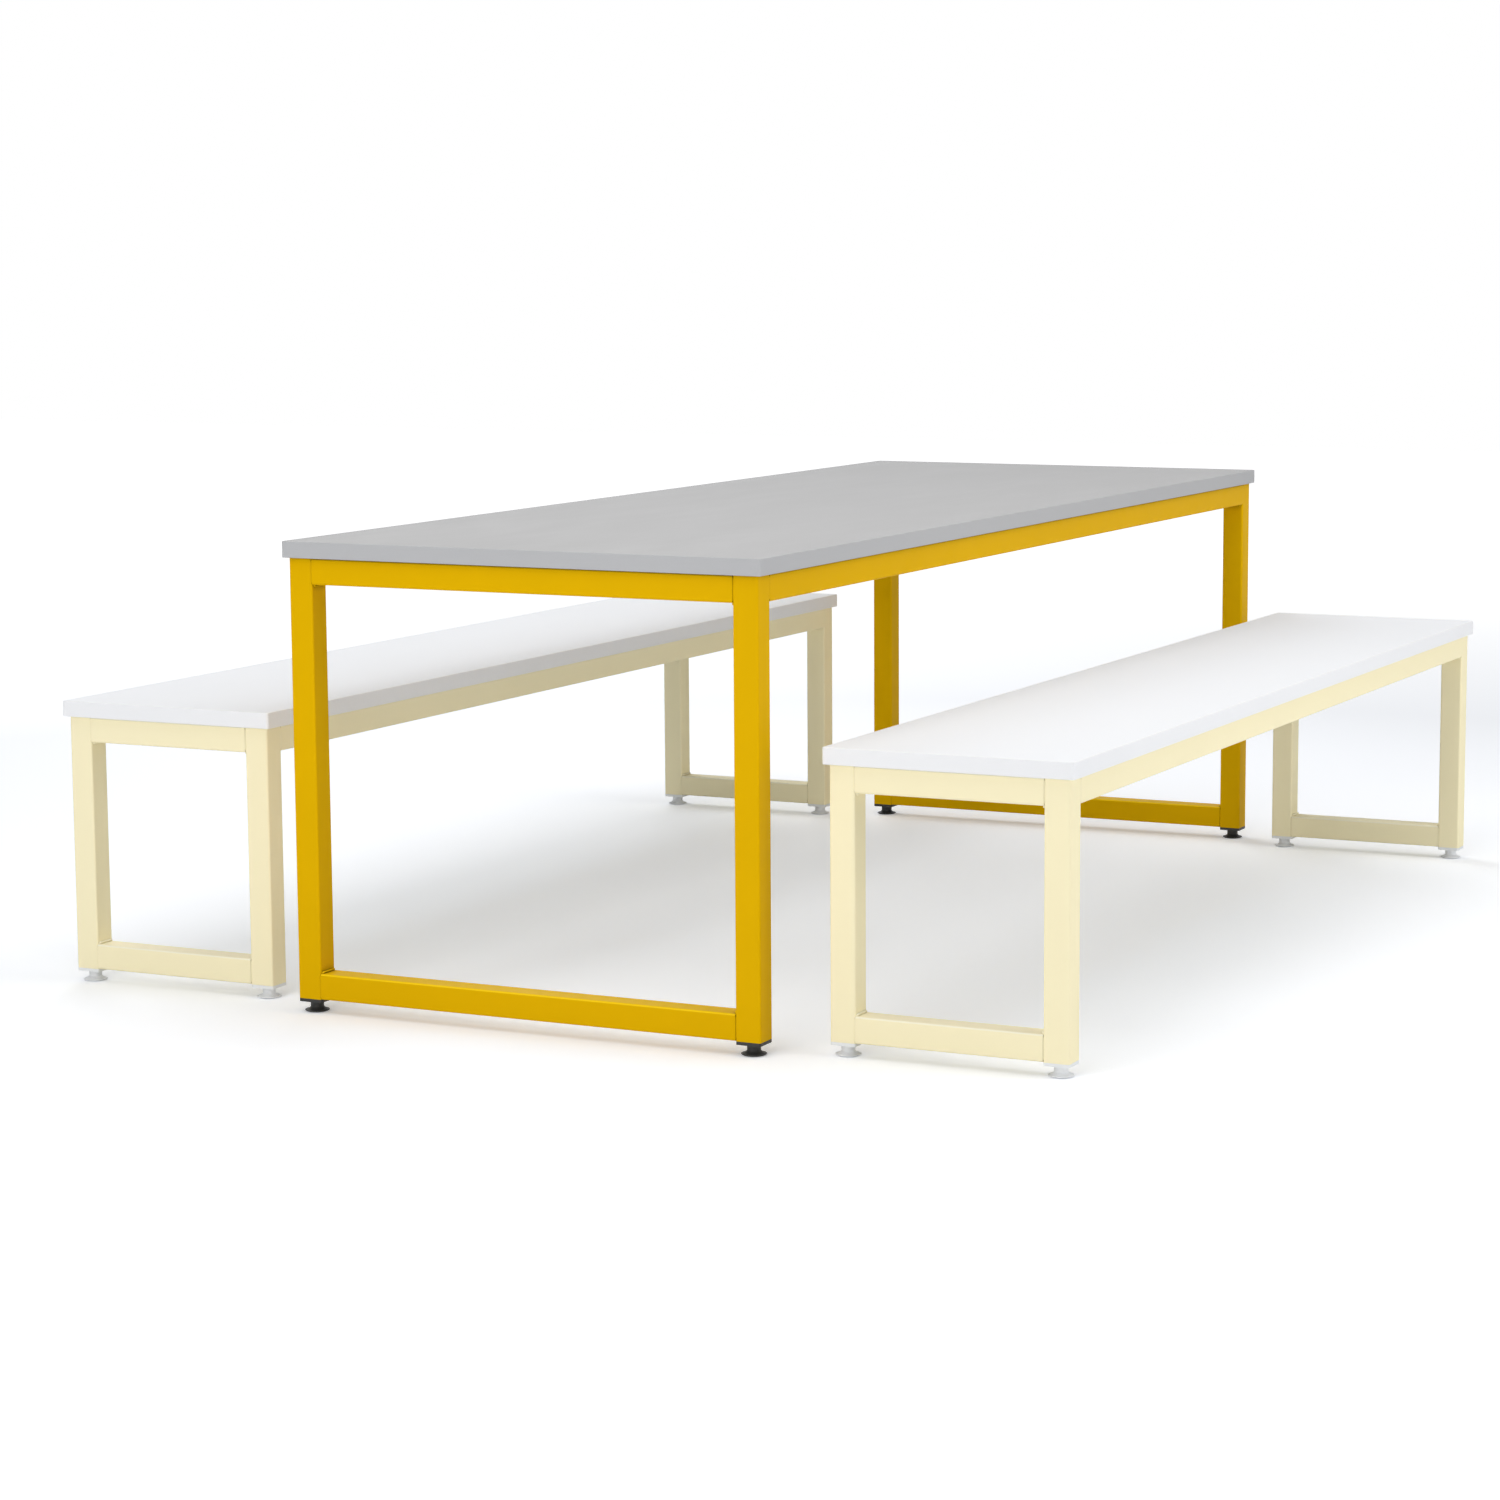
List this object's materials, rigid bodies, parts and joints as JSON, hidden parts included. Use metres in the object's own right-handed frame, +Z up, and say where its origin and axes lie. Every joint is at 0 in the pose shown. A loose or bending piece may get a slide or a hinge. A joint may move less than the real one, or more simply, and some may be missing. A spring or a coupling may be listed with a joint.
{
  "type": "dining table with benches",
  "caption": "Long rectangular table with a pair of matching free-standing benches, faced boards on welded square-tube frames with screw-in levelling feet.",
  "frame": {"origin": "on the floor, under the middle of the table top", "axes": "+X along the table and the benches, +Y from the front bench to the back bench, +Z up"},
  "size_m": [2.17, 1.707, 0.72],
  "materials": {
    "table_board": "chipboard faced with light grey melamine, faintly textured, satin",
    "table_edge_band": "grey plastic edge band, satin",
    "table_frame": "golden yellow powder coat, semi-gloss with a fine orange peel",
    "table_insert": "black moulded plastic",
    "table_foot_pad": "black moulded plastic",
    "table_foot_spindle": "zinc-plated threaded stud with a black hub",
    "bench_board": "chipboard faced with near-white melamine, faintly textured, satin",
    "bench_edge_band": "off-white plastic edge band, satin",
    "bench_frame": "pale cream powder coat, semi-gloss with a fine orange peel",
    "bench_insert": "light grey moulded plastic",
    "bench_foot_pad": "light grey moulded plastic",
    "bench_foot_spindle": "zinc-plated threaded stud with a light grey hub",
    "zinc_steel": "bright zinc plate"
  },
  "bodies": {
    "table": {"table_top_board": "table_board", "table_top_edge_band": "table_edge_band", "table_leg_front_left": "table_frame", "table_leg_front_right": "table_frame", "table_long_rail_front": "table_frame", "table_leg_back_left": "table_frame", "table_leg_back_right": "table_frame", "table_long_rail_back": "table_frame", "table_end_rail_left": "table_frame", "table_foot_rail_left": "table_frame", "table_end_rail_right": "table_frame", "table_foot_rail_right": "table_frame", "table_weld_beads": "table_frame", "table_leg_inserts": "table_insert", "table_captive_nuts": "zinc_steel", "table_top_screws": "zinc_steel"},
    "bench_front": {"front_bench_seat_board": "bench_board", "front_bench_seat_edge_band": "bench_edge_band", "front_bench_legs": "bench_frame", "front_bench_end_rails": "bench_frame", "front_bench_foot_rails": "bench_frame", "front_bench_long_rails": "bench_frame", "front_bench_weld_beads": "bench_frame", "front_bench_leg_inserts": "bench_insert", "front_bench_captive_nuts": "zinc_steel", "front_bench_seat_screws": "zinc_steel"},
    "bench_back": {"back_bench_seat_board": "bench_board", "back_bench_seat_edge_band": "bench_edge_band", "back_bench_legs": "bench_frame", "back_bench_end_rails": "bench_frame", "back_bench_foot_rails": "bench_frame", "back_bench_long_rails": "bench_frame", "back_bench_weld_beads": "bench_frame", "back_bench_leg_inserts": "bench_insert", "back_bench_captive_nuts": "zinc_steel", "back_bench_seat_screws": "zinc_steel"},
    "table_front_left_pad": {"table_foot_pad_front_left": "table_foot_pad"},
    "table_front_left_spindle": {"table_foot_spindle_front_left": "table_foot_spindle"},
    "table_front_right_pad": {"table_foot_pad_front_right": "table_foot_pad"},
    "table_front_right_spindle": {"table_foot_spindle_front_right": "table_foot_spindle"},
    "table_back_left_pad": {"table_foot_pad_back_left": "table_foot_pad"},
    "table_back_left_spindle": {"table_foot_spindle_back_left": "table_foot_spindle"},
    "table_back_right_pad": {"table_foot_pad_back_right": "table_foot_pad"},
    "table_back_right_spindle": {"table_foot_spindle_back_right": "table_foot_spindle"},
    "front_bench_front_left_pad": {"front_bench_foot_pad_front_left": "bench_foot_pad"},
    "front_bench_front_left_spindle": {"front_bench_foot_spindle_front_left": "bench_foot_spindle"},
    "front_bench_front_right_pad": {"front_bench_foot_pad_front_right": "bench_foot_pad"},
    "front_bench_front_right_spindle": {"front_bench_foot_spindle_front_right": "bench_foot_spindle"},
    "front_bench_back_left_pad": {"front_bench_foot_pad_back_left": "bench_foot_pad"},
    "front_bench_back_left_spindle": {"front_bench_foot_spindle_back_left": "bench_foot_spindle"},
    "front_bench_back_right_pad": {"front_bench_foot_pad_back_right": "bench_foot_pad"},
    "front_bench_back_right_spindle": {"front_bench_foot_spindle_back_right": "bench_foot_spindle"},
    "back_bench_front_left_pad": {"back_bench_foot_pad_front_left": "bench_foot_pad"},
    "back_bench_front_left_spindle": {"back_bench_foot_spindle_front_left": "bench_foot_spindle"},
    "back_bench_front_right_pad": {"back_bench_foot_pad_front_right": "bench_foot_pad"},
    "back_bench_front_right_spindle": {"back_bench_foot_spindle_front_right": "bench_foot_spindle"},
    "back_bench_back_left_pad": {"back_bench_foot_pad_back_left": "bench_foot_pad"},
    "back_bench_back_left_spindle": {"back_bench_foot_spindle_back_left": "bench_foot_spindle"},
    "back_bench_back_right_pad": {"back_bench_foot_pad_back_right": "bench_foot_pad"},
    "back_bench_back_right_spindle": {"back_bench_foot_spindle_back_right": "bench_foot_spindle"}
  },
  "joints": [
    {"name": "front_bench_slide", "type": "slide", "parent": "table", "child": "bench_front", "axis": [0, 1, 0], "range_m": [-0.15, 0.45]},
    {"name": "back_bench_slide", "type": "slide", "parent": "table", "child": "bench_back", "axis": [0, -1, 0], "range_m": [-0.15, 0.45]},
    {"name": "table_front_left_level", "type": "slide", "parent": "table", "child": "table_front_left_pad", "axis": [0, 0, 1], "range_m": [-0.015, 0]},
    {"name": "table_front_left_screw", "type": "hinge", "parent": "table_front_left_pad", "child": "table_front_left_spindle", "pos_m": [-1.057, -0.372, 0.022], "axis": [0, 0, 1], "range_deg": [-3600, 0]},
    {"name": "table_front_right_level", "type": "slide", "parent": "table", "child": "table_front_right_pad", "axis": [0, 0, 1], "range_m": [-0.015, 0]},
    {"name": "table_front_right_screw", "type": "hinge", "parent": "table_front_right_pad", "child": "table_front_right_spindle", "pos_m": [1.057, -0.372, 0.022], "axis": [0, 0, 1], "range_deg": [-3600, 0]},
    {"name": "table_back_left_level", "type": "slide", "parent": "table", "child": "table_back_left_pad", "axis": [0, 0, 1], "range_m": [-0.015, 0]},
    {"name": "table_back_left_screw", "type": "hinge", "parent": "table_back_left_pad", "child": "table_back_left_spindle", "pos_m": [-1.057, 0.372, 0.022], "axis": [0, 0, 1], "range_deg": [-3600, 0]},
    {"name": "table_back_right_level", "type": "slide", "parent": "table", "child": "table_back_right_pad", "axis": [0, 0, 1], "range_m": [-0.015, 0]},
    {"name": "table_back_right_screw", "type": "hinge", "parent": "table_back_right_pad", "child": "table_back_right_spindle", "pos_m": [1.057, 0.372, 0.022], "axis": [0, 0, 1], "range_deg": [-3600, 0]},
    {"name": "front_bench_front_left_level", "type": "slide", "parent": "bench_front", "child": "front_bench_front_left_pad", "axis": [0, 0, 1], "range_m": [-0.015, 0]},
    {"name": "front_bench_front_left_screw", "type": "hinge", "parent": "front_bench_front_left_pad", "child": "front_bench_front_left_spindle", "pos_m": [-1.002, -0.8255, 0.022], "axis": [0, 0, 1], "range_deg": [-3600, 0]},
    {"name": "front_bench_front_right_level", "type": "slide", "parent": "bench_front", "child": "front_bench_front_right_pad", "axis": [0, 0, 1], "range_m": [-0.015, 0]},
    {"name": "front_bench_front_right_screw", "type": "hinge", "parent": "front_bench_front_right_pad", "child": "front_bench_front_right_spindle", "pos_m": [1.002, -0.8255, 0.022], "axis": [0, 0, 1], "range_deg": [-3600, 0]},
    {"name": "front_bench_back_left_level", "type": "slide", "parent": "bench_front", "child": "front_bench_back_left_pad", "axis": [0, 0, 1], "range_m": [-0.015, 0]},
    {"name": "front_bench_back_left_screw", "type": "hinge", "parent": "front_bench_back_left_pad", "child": "front_bench_back_left_spindle", "pos_m": [-1.002, -0.4965, 0.022], "axis": [0, 0, 1], "range_deg": [-3600, 0]},
    {"name": "front_bench_back_right_level", "type": "slide", "parent": "bench_front", "child": "front_bench_back_right_pad", "axis": [0, 0, 1], "range_m": [-0.015, 0]},
    {"name": "front_bench_back_right_screw", "type": "hinge", "parent": "front_bench_back_right_pad", "child": "front_bench_back_right_spindle", "pos_m": [1.002, -0.4965, 0.022], "axis": [0, 0, 1], "range_deg": [-3600, 0]},
    {"name": "back_bench_front_left_level", "type": "slide", "parent": "bench_back", "child": "back_bench_front_left_pad", "axis": [0, 0, 1], "range_m": [-0.015, 0]},
    {"name": "back_bench_front_left_screw", "type": "hinge", "parent": "back_bench_front_left_pad", "child": "back_bench_front_left_spindle", "pos_m": [-1.002, 0.4965, 0.022], "axis": [0, 0, 1], "range_deg": [-3600, 0]},
    {"name": "back_bench_front_right_level", "type": "slide", "parent": "bench_back", "child": "back_bench_front_right_pad", "axis": [0, 0, 1], "range_m": [-0.015, 0]},
    {"name": "back_bench_front_right_screw", "type": "hinge", "parent": "back_bench_front_right_pad", "child": "back_bench_front_right_spindle", "pos_m": [1.002, 0.4965, 0.022], "axis": [0, 0, 1], "range_deg": [-3600, 0]},
    {"name": "back_bench_back_left_level", "type": "slide", "parent": "bench_back", "child": "back_bench_back_left_pad", "axis": [0, 0, 1], "range_m": [-0.015, 0]},
    {"name": "back_bench_back_left_screw", "type": "hinge", "parent": "back_bench_back_left_pad", "child": "back_bench_back_left_spindle", "pos_m": [-1.002, 0.8255, 0.022], "axis": [0, 0, 1], "range_deg": [-3600, 0]},
    {"name": "back_bench_back_right_level", "type": "slide", "parent": "bench_back", "child": "back_bench_back_right_pad", "axis": [0, 0, 1], "range_m": [-0.015, 0]},
    {"name": "back_bench_back_right_screw", "type": "hinge", "parent": "back_bench_back_right_pad", "child": "back_bench_back_right_spindle", "pos_m": [1.002, 0.8255, 0.022], "axis": [0, 0, 1], "range_deg": [-3600, 0]}
  ],
  "couplings": [
    {"joint": "table_front_left_screw", "follows": "table_front_left_level", "rad_per_m": 4188.8},
    {"joint": "table_front_right_screw", "follows": "table_front_right_level", "rad_per_m": 4188.8},
    {"joint": "table_back_left_screw", "follows": "table_back_left_level", "rad_per_m": 4188.8},
    {"joint": "table_back_right_screw", "follows": "table_back_right_level", "rad_per_m": 4188.8},
    {"joint": "front_bench_front_left_screw", "follows": "front_bench_front_left_level", "rad_per_m": 4188.8},
    {"joint": "front_bench_front_right_screw", "follows": "front_bench_front_right_level", "rad_per_m": 4188.8},
    {"joint": "front_bench_back_left_screw", "follows": "front_bench_back_left_level", "rad_per_m": 4188.8},
    {"joint": "front_bench_back_right_screw", "follows": "front_bench_back_right_level", "rad_per_m": 4188.8},
    {"joint": "back_bench_front_left_screw", "follows": "back_bench_front_left_level", "rad_per_m": 4188.8},
    {"joint": "back_bench_front_right_screw", "follows": "back_bench_front_right_level", "rad_per_m": 4188.8},
    {"joint": "back_bench_back_left_screw", "follows": "back_bench_back_left_level", "rad_per_m": 4188.8},
    {"joint": "back_bench_back_right_screw", "follows": "back_bench_back_right_level", "rad_per_m": 4188.8}
  ]
}
